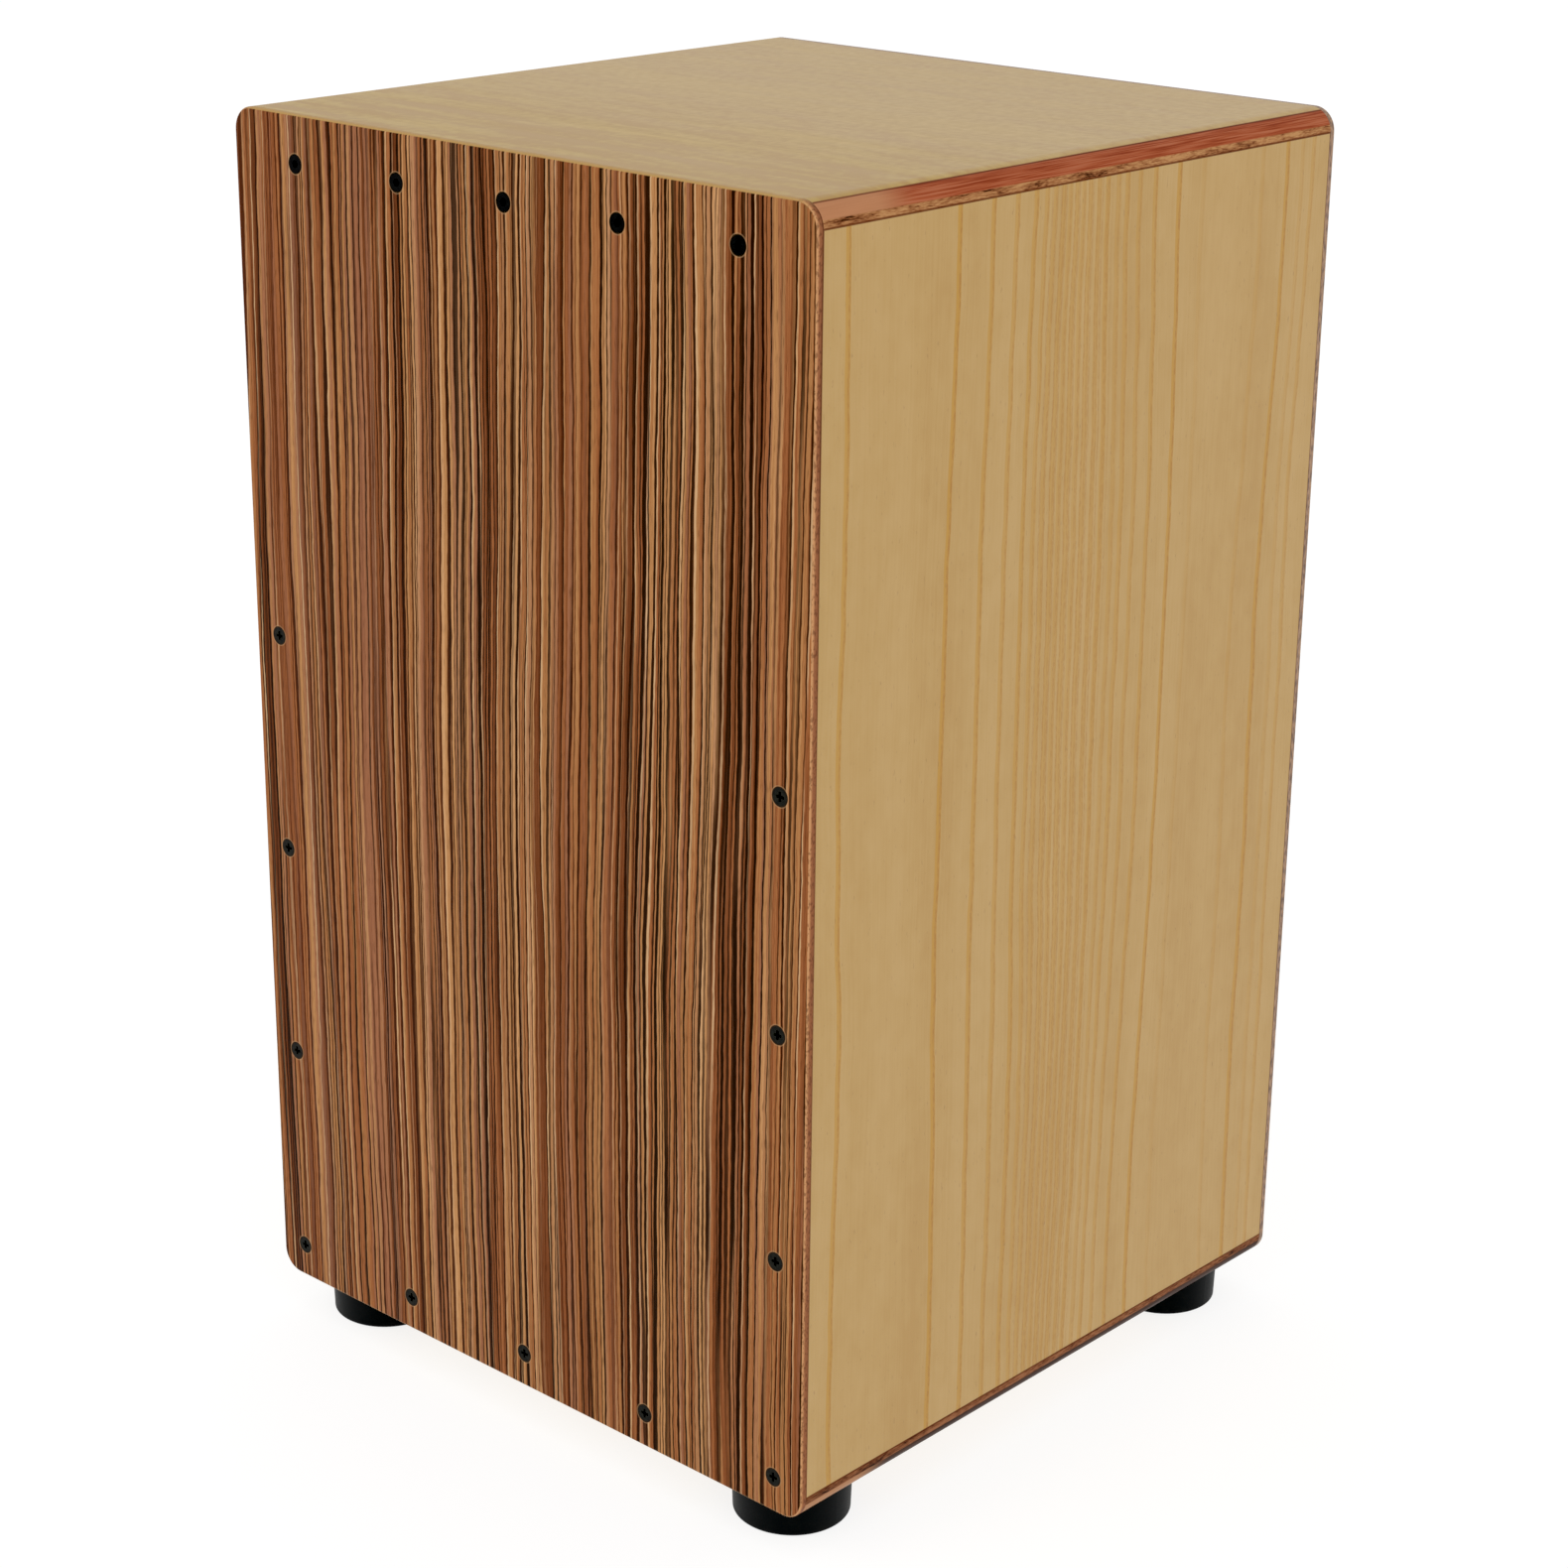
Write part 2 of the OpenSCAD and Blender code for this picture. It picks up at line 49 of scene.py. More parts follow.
CAMERA_PLACE = (0.8475, -0.9313, 0.6821)
CAMERA_AZIMUTH = 42.27
CAMERA_ELEVATION = 19.77
CAMERA_ROLL = 0.60
CAMERA_LENS = 77.0
CAMERA_SENSOR = 36.0

# ---- Studio, in metres and watts ----

FLOOR_RADIUS = 14.0
FLOOR_SIDES = 64
FLOOR_GREY = 0.25
FLOOR_GLOW = 0.82
WORLD_GLOW = 0.83
LIGHT_TARGET = (0.0, 0.0, 0.25)
# Name, place, width and power of each soft light
SOFT_LIGHTS = (
    ("key", (-0.9, -1.9, 1.7), 1.4, 7),
    ("fill", (2.2, -0.6, 1.2), 1.6, 5),
)
BLACK_LEVEL = 0.01

# ---- Wound strings, in millimetres ----

STRING_RADIUS = 0.40
STRING_SIDES = 8
WINDING_PITCH = 0.45
# Radius between two turns of the winding, as a share of the string's radius
WINDING_VALLEY = 0.86

# ---- Measures that come from the frame ----


def in_mm(value):
    return value / MM


def middle(node):
    low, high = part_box(node)
    return (low + high) / 2


TAPA_LOW, TAPA_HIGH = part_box("tapa")
SIDE_LOW, SIDE_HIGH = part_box("right_panel")
BACK_LOW, BACK_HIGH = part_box("back_panel")

SIDE_X = in_mm(TAPA_HIGH.x)
TAPA_FRONT = in_mm(TAPA_LOW.y)
TAPA_BACK = in_mm(TAPA_HIGH.y)
TAPA_DEPTH = TAPA_BACK - TAPA_FRONT
BACK_FRONT = in_mm(BACK_LOW.y)
BACK_BACK = in_mm(BACK_HIGH.y)
BOX_UNDER = in_mm(TAPA_LOW.z)
BOX_TOP = in_mm(TAPA_HIGH.z)
LOW_SEAM = in_mm(SIDE_LOW.z)
TOP_SEAM = in_mm(SIDE_HIGH.z)


def loose_part_middles(node):
    """Middle of each loose part of a node's mesh, in millimetres."""
    mesh = nodes[node].data
    group = list(range(len(mesh.vertices)))
    same_place = {}

    def root(index):
        while group[index] != index:
            group[index] = group[group[index]]
            index = group[index]
        return index

    for vertex in mesh.vertices:
        # Corners at the same micrometre are one corner
        key = tuple(round(value / MM, 3) for value in vertex.co)
        group[root(vertex.index)] = root(same_place.setdefault(key, vertex.index))
    for edge in mesh.edges:
        group[root(edge.vertices[0])] = root(edge.vertices[1])
    parts = {}
    for vertex in mesh.vertices:
        parts.setdefault(root(vertex.index), []).append(vertex.co)
    middles = []
    for corners in parts.values():
        low = [min(corner[axis] for corner in corners) for axis in range(3)]
        high = [max(corner[axis] for corner in corners) for axis in range(3)]
        middles.append(tuple(in_mm((a + b) / 2) for a, b in zip(low, high)))
    return sorted(middles)


TOP_BOLTS = [f"top_bolt_{number}" for number in range(1, 6)]
SCREW_PLACES = loose_part_middles("tapa_screws")
TOP_BOLT_PLACES = [tuple(in_mm(value) for value in middle(bolt)) for bolt in TOP_BOLTS]


# ---- Colours ----


def paint(red, green, blue):
    """A colour given as the eye sees it, 0 to 255, as the linear colour that a shader takes."""
    linear = []
    for value in (red, green, blue):
        share = value / 255
        linear.append(share / 12.92 if share <= 0.04045 else ((share + 0.055) / 1.055) ** 2.4)
    return (*linear, 1.0)


GLUE = paint(92, 40, 18)
RED_CORE = (paint(134, 58, 34), paint(162, 84, 54), paint(176, 104, 74))
TAN_PLY = (paint(44, 24, 14), paint(110, 64, 38), paint(156, 104, 66), paint(186, 138, 92))
# Dark brown core of the bottom panel's edge: painted shade, as that rounded edge faces down
SHADED_BROWN_CORE = (paint(48, 30, 22), paint(62, 40, 30), paint(80, 54, 42))
BROWN_PLY = (paint(26, 15, 9), paint(84, 47, 29), paint(124, 76, 48), paint(150, 100, 68))


# ---- Ways to build a material ----

# Size of a noise, in millimetres, along an axis on which it should hardly change
STEADY = 400
# A Mix node has sockets of one name for each kind of data, so those for colours go by number
MIX_SHARE, MIX_FIRST, MIX_SECOND = 0, 6, 7
MIX_RESULT = 2


class Finish:
    """A material and short ways to add nodes to it."""

    def __init__(self, name):
        self.material = bpy.data.materials.new(name)
        self.material.use_nodes = True
        tree = self.material.node_tree
        tree.nodes.clear()
        self.nodes = tree.nodes
        self.links = tree.links
        self.shader = self.nodes.new("ShaderNodeBsdfPrincipled")
        output = self.nodes.new("ShaderNodeOutputMaterial")
        self.links.new(self.shader.outputs["BSDF"], output.inputs["Surface"])
        where = self.nodes.new("ShaderNodeTexCoord")
        metres = where.outputs["Object"]
        self.place = self.vector("MULTIPLY", metres, (1 / MM,) * 3)
        parts = self.nodes.new("ShaderNodeSeparateXYZ")
        self.links.new(self.place, parts.inputs[0])
        self.x, self.y, self.z = parts.outputs

    def feed(self, socket, value):
        if isinstance(value, bpy.types.NodeSocket):
            self.links.new(value, socket)
        else:
            socket.default_value = value

    def math(self, operation, *values):
        node = self.nodes.new("ShaderNodeMath")
        node.operation = operation
        for socket, value in zip(node.inputs, values):
            self.feed(socket, value)
        return node.outputs[0]

    def vector(self, operation, *values):
        node = self.nodes.new("ShaderNodeVectorMath")
        node.operation = operation
        for socket, value in zip(node.inputs, values):
            self.feed(socket, value)
        return node.outputs["Value"] if operation == "DISTANCE" else node.outputs[0]

    def combine(self, x, y, z):
        node = self.nodes.new("ShaderNodeCombineXYZ")
        for socket, value in zip(node.inputs, (x, y, z)):
            self.feed(socket, value)
        return node.outputs[0]

    def total(self, *parts):
        """Sum of (value, share) pairs."""
        result = 0.0
        for value, share in parts:
            result = self.math("MULTIPLY_ADD", value, share, result)
        return result

    def times(self, first, *others):
        """Product of all the values."""
        for value in others:
            first = self.math("MULTIPLY", first, value)
        return first

    def highest(self, first, *others):
        """Highest of all the values."""
        for value in others:
            first = self.math("MAXIMUM", first, value)
        return first

    def off_middle(self):
        """Distance to the left or right of the middle of the box, in millimetres."""
        return self.math("ABSOLUTE", self.x)

    def noise(self, size, seed=0.0, detail=2.0, place=None):
        """Noise round 0.5 whose blotches measure about size, in millimetres, along each axis."""
        finer = self.vector("DIVIDE", self.place if place is None else place, size)
        shifted = self.vector("ADD", finer, (seed, seed * 0.7, -seed))
        node = self.nodes.new("ShaderNodeTexNoise")
        node.inputs["Scale"].default_value = 1.0
        node.inputs["Detail"].default_value = detail
        self.links.new(shifted, node.inputs["Vector"])
        return node.outputs["Fac"]

    def chance(self, value, draw=0.0):
        """A number from 0 to 1 that differs for each different value, and for each draw."""
        node = self.nodes.new("ShaderNodeTexWhiteNoise")
        node.noise_dimensions = "1D"
        self.feed(node.inputs["W"], self.math("ADD", value, draw) if draw else value)
        return node.outputs["Value"]

    def rise(self, value, low, high):
        """0 below low, 1 above high and smooth between; with low above high it falls."""
        node = self.nodes.new("ShaderNodeMapRange")
        node.interpolation_type = "SMOOTHSTEP"
        for socket, number in zip(node.inputs, (value, low, high)):
            self.feed(socket, number)
        return node.outputs[0]

    def line(self, value, centre, half_width, blur):
        """1 within half_width of the centre, falling to 0 over blur."""
        away = self.math("ABSOLUTE", self.math("SUBTRACT", value, centre))
        return self.rise(away, half_width + blur, half_width)

    def ramp(self, value, stops):
        """Colour for a value, from (position, colour) stops."""
        node = self.nodes.new("ShaderNodeValToRGB")
        elements = node.color_ramp.elements
        while len(elements) < len(stops):
            elements.new(0.5)
        for element, (position, colour) in zip(elements, stops):
            element.position = position
            element.color = colour
        self.links.new(value, node.inputs[0])
        return node.outputs["Color"]

    def mix(self, share, first, second, blend="MIX"):
        """The first colour where share is 0, and the second where it is 1."""
        node = self.nodes.new("ShaderNodeMix")
        node.data_type = "RGBA"
        node.blend_type = blend
        for index, value in ((MIX_SHARE, share), (MIX_FIRST, first), (MIX_SECOND, second)):
            self.feed(node.inputs[index], value)
        return node.outputs[MIX_RESULT]

    def stain(self, base, where, strength, colour, blend="MIX"):
        """The base with a colour laid over it where the mask is 1, as strongly as given."""
        return self.mix(self.times(where, strength), base, colour, blend)

    def bump(self, height, depth_mm):
        """Surface relief: height runs from 0 to 1 and stands for depth_mm."""
        node = self.nodes.new("ShaderNodeBump")
        node.inputs["Distance"].default_value = depth_mm * MM
        self.links.new(height, node.inputs["Height"])
        self.links.new(node.outputs["Normal"], self.shader.inputs["Normal"])

    def set(self, **sockets):
        """Sets the shader's inputs; an underscore in a name stands for a space."""
        for name, value in sockets.items():
            self.feed(self.shader.inputs[name.replace("_", " ")], value)
        return self


# ---- Tapa ----

# Where a countersink's dark rim of painted shadow begins, and where it cuts through the veneer, in
# millimetres
COUNTERSINK_SHADOW_RADIUS = 3.7
CUT_RADIUS = 3.9


def from_nearest_fastener(finish):
    """Distance from the nearest fastener of the tapa, in millimetres, seen from the front."""
    flat = finish.combine(finish.x, 0.0, finish.z)
    nearest = None
    for x, _, z in SCREW_PLACES + TOP_BOLT_PLACES:
        away = finish.vector("DISTANCE", flat, (x, 0.0, z))
        nearest = away if nearest is None else finish.math("MINIMUM", nearest, away)
    return nearest


def zebrano_veneer(finish):
    """The striped front of the tapa: its colour, its dark lines and its pores."""
    lean = finish.noise((220, 300, 380), seed=8.3, detail=0.0)
    sway = finish.noise((26, 60, 84), seed=3.1, detail=2.0)
    jitter = finish.noise((5, 60, 16), seed=4.6, detail=1.0)
    ragged = finish.noise((1.2, 60, 5), seed=6.9, detail=1.0)
    x = finish.total((finish.x, 1.0), (lean, 14.0), (sway, 3.4), (jitter, 0.7), (ragged, 0.5))
    grain = finish.combine(x, finish.y, finish.z)
    cluster = finish.noise((17, 40, 1100), seed=31.0, detail=1.0, place=grain)
    fading = finish.noise((3.0, 40, 80), seed=37.0, detail=1.0, place=grain)
    fibre = finish.noise((0.7, 40, 110), seed=5.2, detail=2.0, place=grain)

    def count_rings(pitch, wander, seed):
        """A number that grows by one from each growth ring to the next."""
        drift = finish.noise((pitch * 4, 40, 480), seed=seed, detail=1.0, place=grain)
        return finish.total((x, 1 / pitch), (drift, wander), (1.0, seed))

    def dark_lines(count, thin, thick, weakest, strongest):
        """Dark lines at whole numbers of the count, and the width that each of them has."""
        number = finish.math("ROUND", count)
        luck = finish.chance(number)
        wide = finish.total((finish.chance(number, draw=0.5), thick - thin), (1.0, thin))
        away = finish.math("PINGPONG", count, 0.5)
        shape = finish.rise(away, wide, finish.times(wide, 0.6))
        depth = finish.total((luck, 1.0), (fading, 0.9), (cluster, -1.9), (1.0, 0.5))
        return finish.times(shape, finish.rise(depth, weakest, strongest)), wide

    # Stripes of honey, orange and brown wood, one for each ring, and darker near the left edge
    rings = count_rings(pitch=4.4, wander=2.6, seed=11.0)
    fine_rings = count_rings(pitch=1.8, wander=3.6, seed=23.0)
    ring = finish.math("FLOOR", rings)
    fine_ring = finish.math("FLOOR", fine_rings)
    across = finish.math("FRACT", rings)
    towards_left = finish.rise(finish.x, 80 - SIDE_X, -SIDE_X)
    tone = finish.total(
        (finish.chance(ring), 0.30),
        (finish.chance(fine_ring), 0.24),
        (fibre, 0.55),
        (cluster, 0.30),
        (across, -0.10),
        (towards_left, -0.14),
        (1.0, -0.155),
    )
    wood = finish.ramp(
        tone,
        (
            (0.22, paint(100, 52, 24)),
            (0.34, paint(134, 78, 44)),
            (0.44, paint(158, 98, 58)),
            (0.54, paint(170, 118, 72)),
            (0.66, paint(190, 138, 90)),
            (0.82, paint(208, 162, 116)),
        ),
    )

    # Some stripes are a greyish pink
    pinkish = finish.rise(finish.chance(fine_ring, draw=0.3), 0.60, 0.90)
    wood = finish.stain(wood, pinkish, 0.42, paint(160, 112, 86))

    # A pale line along one side of many dark lines
    bold, bold_wide = dark_lines(rings, thin=0.07, thick=0.22, weakest=-0.20, strongest=0.25)
    fine, _ = dark_lines(fine_rings, thin=0.14, thick=0.32, weakest=0.12, strongest=0.70)
    beside = finish.math("SUBTRACT", finish.math("SUBTRACT", across, bold_wide), 0.06)
    pale = finish.times(
        finish.line(beside, 0.0, 0.03, 0.09),
        finish.rise(finish.chance(ring, draw=0.25), 0.1, 0.9),
        finish.rise(fibre, 0.35, 0.55),
    )
    wood = finish.stain(wood, pale, 0.85, paint(206, 170, 128))

    # Dark lines, from near-black to soft brown
    dark = finish.highest(bold, finish.times(fine, 0.9))
    softness = finish.total((finish.chance(ring, draw=0.7), 0.5), (cluster, 1.4), (1.0, -0.7))
    line_colour = finish.mix(finish.rise(softness, 0.15, 0.65), paint(20, 6, 0), paint(80, 34, 8))
    wood = finish.stain(wood, dark, 0.97, line_colour)

    # Short open pores
    pores = finish.noise((0.4, 40, 7), seed=41.0, detail=1.0, place=grain)
    pores = finish.rise(pores, 0.56, 0.72)
    wood = finish.stain(wood, pores, 0.45, paint(62, 30, 12))

    # Each countersink has a dark rim of painted shadow, and a pale ring where it cuts through the
    # veneer
    hole = from_nearest_fastener(finish)
    wood = finish.mix(finish.rise(hole, COUNTERSINK_SHADOW_RADIUS + 0.1, COUNTERSINK_SHADOW_RADIUS - 0.1), wood, paint(44, 32, 22))
    cut = finish.line(hole, CUT_RADIUS, 0.10, 0.22)
    wood = finish.stain(wood, cut, 0.40, paint(176, 140, 100))
    return wood, dark, pores


def tapa_edge(finish, depth):
    """The ply behind the tapa's veneer, as its eased edge and its sides show it."""
    ply = finish.ramp(
        finish.math("DIVIDE", depth, TAPA_DEPTH),
        (
            (0.00, paint(160, 108, 60)),
            (0.14, paint(206, 154, 108)),
            (0.30, paint(180, 126, 86)),
            (0.44, paint(148, 94, 62)),
            (1.00, paint(140, 88, 58)),
        ),
    )

    # A glue line where it meets the box, darker high up
    behind = finish.rise(depth, TAPA_DEPTH - 0.7, TAPA_DEPTH - 0.3)
    near_side = finish.rise(finish.off_middle(), SIDE_X - 12, SIDE_X - 3)
    high_up = finish.rise(finish.z, BOX_TOP - 190, BOX_TOP - 60)
    glue = finish.times(behind, near_side, finish.total((high_up, 0.5), (1.0, 0.2)))
    ply = finish.mix(glue, ply, paint(76, 32, 14))

    specks = finish.noise((0.8, 0.8, 1.6), seed=51.0, detail=2.0)
    ply = finish.stain(ply, finish.rise(specks, 0.50, 0.62), 0.5, paint(78, 42, 28))

    # Along the top and the bottom the edge is nearly as pale as the panels
    on_side = finish.rise(finish.off_middle(), SIDE_X - 12, SIDE_X - 2)
    return finish.mix(finish.math("MULTIPLY_ADD", on_side, -0.9, 0.9), ply, paint(184, 148, 90))


def zebrano():
    """The tapa: a striped veneer on the front, a pinkish ply edge, and bare ply behind."""
    finish = Finish("zebrano_ply")
    depth = finish.math("SUBTRACT", finish.y, TAPA_FRONT)
    wood, dark, pores = zebrano_veneer(finish)
    below_veneer = finish.rise(depth, 0.12, 0.34)
    colour = finish.mix(below_veneer, wood, tapa_edge(finish, depth))
    inside = finish.times(
        finish.rise(depth, TAPA_DEPTH - 0.1, TAPA_DEPTH - 0.05),
        finish.rise(finish.off_middle(), SIDE_X - 2.0, SIDE_X - 3.0),
    )
    colour = finish.mix(inside, colour, bare_ply(finish, 56.0, "x"))

    sheen = finish.noise((6, 6, 60), seed=61.0, detail=2.0)
    finish.bump(finish.total((dark, -0.5), (pores, -0.5), (1.0, 1.0)), 0.03)
    return finish.set(
        Base_Color=colour,
        Roughness=finish.total((sheen, 0.16), (pores, 0.10), (1.0, 0.34)),
        Specular_IOR_Level=0.06,
    ).material


# ---- Side panels ----

# Growth lines of the right side, as (millimetres behind the middle, strength)
SIDE_LINES = (
    (-131, 0.85), (-75, 1.00), (-56, 0.80), (-43, 0.65), (-33, 0.75), (-27, 0.55),
    (-22, 0.50), (-17, 0.50), (-13, 0.45), (-9, 0.50), (-5, 0.45), (-1, 0.50),
    (4, 0.50), (9, 0.65), (15, 0.45), (20, 0.60), (27, 0.55), (36, 0.70),
    (50, 0.95), (64, 0.20), (98, 0.30), (114, 0.95), (124, 0.30), (131, 0.50),
)


def turned_about(lines, spread=0.8, shift=12):
    """Growth lines for the side that isn't seen: in reverse order, closer together and shifted."""
    return tuple((shift - spread * centre, strength) for centre, strength in lines)


def growth_lines(finish, y, lines, pores):
    """The growth lines of a side panel, broken up by pores, and the late wood beside them."""
    cores = []
    glows = []
    for centre, strength in lines:
        cores.append(finish.times(finish.line(y, centre, 0.4, 0.35), strength))
        glows.append(finish.times(finish.line(y, centre - 0.7, 0.9, 0.7), strength))

    # Close rows of pores in the middle of the panel
    row = finish.line(finish.math("PINGPONG", finish.math("DIVIDE", y, 2.7), 0.5), 0.0, 0.10, 0.12)
    in_rows = finish.line(y, -8.0, 14.0, 10.0)
    rings = finish.highest(0.0, *cores, finish.times(row, in_rows, 0.6))
    broken_up = finish.times(rings, finish.total((pores, 0.75), (1.0, 0.25)))
    return broken_up, finish.highest(0.0, *glows)


def side_seams(finish):
    """The glue line round a side panel."""
    return finish.highest(
        finish.line(finish.z, TOP_SEAM, 0.2, 0.2),
        finish.line(finish.z, LOW_SEAM, 0.1, 0.2),
        finish.line(finish.y, TAPA_BACK, 0.15, 0.3),
        finish.line(finish.y, BACK_FRONT, 0.2, 0.3),
    )


def side_veneer(name, lines, seed):
    """A side panel: pale ash with a few golden growth lines that run up the box."""
    finish = Finish(name)
    drift = finish.noise((STEADY, 90, 260), seed=seed, detail=1.0)
    wobble = finish.noise((STEADY, 30, 34), seed=seed + 4.0, detail=2.0)
    y = finish.total((finish.y, 1.0), (drift, 14.0), (wobble, 2.6), (1.0, -8.3))
    grain = finish.combine(finish.x, y, finish.z)

    cloud = finish.noise((STEADY, 26, 240), seed=seed + 1.0, detail=1.0, place=grain)
    mottle = finish.noise((STEADY, 7, 12), seed=seed + 5.0, detail=2.0)
    fibre = finish.noise((STEADY, 0.9, 60), seed=seed + 2.0, detail=2.0, place=grain)
    wood = finish.ramp(
        finish.total((cloud, 0.45), (mottle, 0.30), (fibre, 0.25)),
        (
            (0.36, paint(176, 138, 75)),
            (0.50, paint(181, 145, 84)),
            (0.64, paint(185, 150, 92)),
        ),
    )

    pores = finish.noise((STEADY, 0.6, 2.2), seed=seed + 3.0, detail=1.0, place=grain)
    pores = finish.rise(pores, 0.38, 0.62)
    rings, late_wood = growth_lines(finish, y, lines, pores)
    wood = finish.stain(wood, late_wood, 0.75, paint(180, 130, 20))
    wood = finish.stain(wood, rings, 0.62, paint(156, 102, 18))
    specks = finish.noise((STEADY, 0.8, 3.2), seed=seed + 8.0, detail=1.0)
    wood = finish.stain(wood, finish.rise(specks, 0.70, 0.80), 0.35, paint(128, 92, 50))
    seam = side_seams(finish)
    wood = finish.stain(wood, seam, 0.85, GLUE)

    # The inner face is bare brown ply
    inside = finish.rise(finish.off_middle(), SIDE_X - 0.6, SIDE_X - 0.9)
    colour = finish.mix(inside, wood, bare_ply(finish, seed, "z"))

    finish.bump(finish.total((fibre, 0.5), (rings, -0.5), (1.0, 0.5)), 0.025)
    return finish.set(
        Base_Color=colour,
        Roughness=finish.total((cloud, 0.10), (inside, 0.25), (1.0, 0.33)),
        Specular_IOR_Level=finish.total((seam, -0.4), (1.0, 0.5)),
    ).material


# ---- Top and bottom panels ----

# Thickness of their outer veneer, and how deep their cores reach, in millimetres
VENEER_DEPTH = 1.0
TOP_CORE_DEPTH = 6.1
# The bottom's core reaches deeper, which widens the painted shade along its downward-facing edge
BOTTOM_CORE_DEPTH = 7.0


def cap_face(finish, seed):
    """Pale outer veneer: its colour, its clouds and its fibres."""
    sway = finish.noise((170, 60, 60), seed=seed, detail=1.0)
    y = finish.total((finish.y, 1.0), (sway, 10.0))
    grain = finish.combine(finish.x, y, finish.z)
    cloud = finish.noise((120, 14, STEADY), seed=seed + 1.0, detail=2.0, place=grain)
    fibre = finish.noise((24, 0.9, STEADY), seed=seed + 2.0, detail=3.0, place=grain)
    speckle = finish.noise((3.2, 4.0, STEADY), seed=seed + 9.0, detail=2.0)
    flame = finish.noise((46, 7, STEADY), seed=seed + 8.0, detail=4.0, place=grain)

    # The front is a little darker and yellower, with a bolder figure
    forward = finish.rise(finish.y, 20.0, -130.0)
    boldness = finish.total((forward, 0.9), (1.0, 0.15))
    figure = finish.times(finish.math("SUBTRACT", flame, 0.5), boldness)
    tone = finish.total(
        (cloud, 0.4),
        (fibre, 0.35),
        (figure, 0.9),
        (speckle, 0.5),
        (forward, -0.08),
        (1.0, -0.145),
    )
    wood = finish.ramp(
        tone,
        (
            (0.34, paint(174, 134, 66)),
            (0.44, paint(180, 145, 76)),
            (0.56, paint(186, 153, 86)),
            (0.68, paint(192, 160, 96)),
        ),
    )
    return finish.stain(wood, forward, 0.6, paint(247, 242, 141), "MULTIPLY"), cloud, fibre


def cap_edge(finish, depth, panel_depth, core_depth, core_tones, ply_tones, seed):
    """A long edge: the core, then ply with dark flecks down to the side panel; and the flecks."""
    # The core is paler for the first few centimetres behind the tapa
    streak = finish.noise((0.5, 24, 0.5), seed=seed + 3.0, detail=3.0)
    core = finish.ramp(streak, tuple(zip((0.34, 0.50, 0.66), core_tones)))
    near_tapa = finish.rise(finish.y, TAPA_BACK + 48, TAPA_BACK + 26)
    core = finish.stain(core, near_tapa, 0.8, paint(188, 136, 98))

    fine_fleck = finish.noise((0.5, 2.8, 0.4), seed=seed + 4.0, detail=4.0)
    patch = finish.noise((2, 15, 2), seed=seed + 5.0, detail=2.0)
    fleck = finish.total((fine_fleck, 0.6), (patch, 0.6), (1.0, -0.07))
    ply = finish.ramp(fleck, tuple(zip((0.34, 0.42, 0.52, 0.66), ply_tones)))

    edge = finish.mix(finish.rise(depth, core_depth - 0.25, core_depth + 0.25), core, ply)
    under_veneer = finish.line(depth, VENEER_DEPTH, 0.10, 0.25)
    at_seam = finish.line(depth, panel_depth, 0.3, 0.3)
    return finish.stain(edge, finish.highest(under_veneer, at_seam), 0.8, GLUE), fleck


def cap_veneer(name, outer_z, seam_z, core_depth, core_tones, ply_tones, seed):
    """Top or bottom panel: pale veneer outside, its layers on the long edges, bare ply inside."""
    finish = Finish(name)
    panel_depth = abs(seam_z - outer_z)
    inward = 1.0 if seam_z > outer_z else -1.0
    depth = finish.times(finish.math("SUBTRACT", finish.z, outer_z), inward)

    wood, cloud, fibre = cap_face(finish, seed)
    edge, fleck = cap_edge(finish, depth, panel_depth, core_depth, core_tones, ply_tones, seed)
    on_edge = finish.rise(depth, VENEER_DEPTH - 0.3, VENEER_DEPTH)
    inside = finish.times(
        finish.rise(depth, panel_depth - 0.3, panel_depth - 0.1),
        finish.rise(finish.off_middle(), SIDE_X - 8.0, SIDE_X - 9.0),
    )
    colour = finish.mix(on_edge, wood, edge)
    colour = finish.mix(inside, colour, bare_ply(finish, seed, "x"))

    finish.bump(finish.total((fibre, 0.5), (fleck, 0.3), (1.0, 0.1)), 0.025)
    return finish.set(
        Base_Color=colour,
        Roughness=finish.total((cloud, 0.10), (inside, 0.25), (1.0, 0.33)),
        Specular_IOR_Level=finish.total((on_edge, -0.47), (1.0, 0.5)),
    ).material


# ---- Back plate and inner wood ----


def along_grain(along, across_mm, along_mm):
    """Sizes of a noise stretched along one axis."""
    return tuple(along_mm if axis == along else across_mm for axis in "xyz")


def bare_ply(finish, seed, along):
    """Unfinished light brown ply, for faces inside the box; its grain runs along the axis named."""
    patch = finish.noise(along_grain(along, 12, 160), seed=seed + 6.0, detail=3.0)
    fleck = finish.noise(along_grain(along, 0.8, 14), seed=seed + 7.0, detail=2.0)
    return finish.ramp(
        finish.total((patch, 0.65), (fleck, 0.35)),
        (
            (0.32, paint(150, 108, 72)),
            (0.50, paint(176, 134, 94)),
            (0.68, paint(194, 156, 114)),
        ),
    )


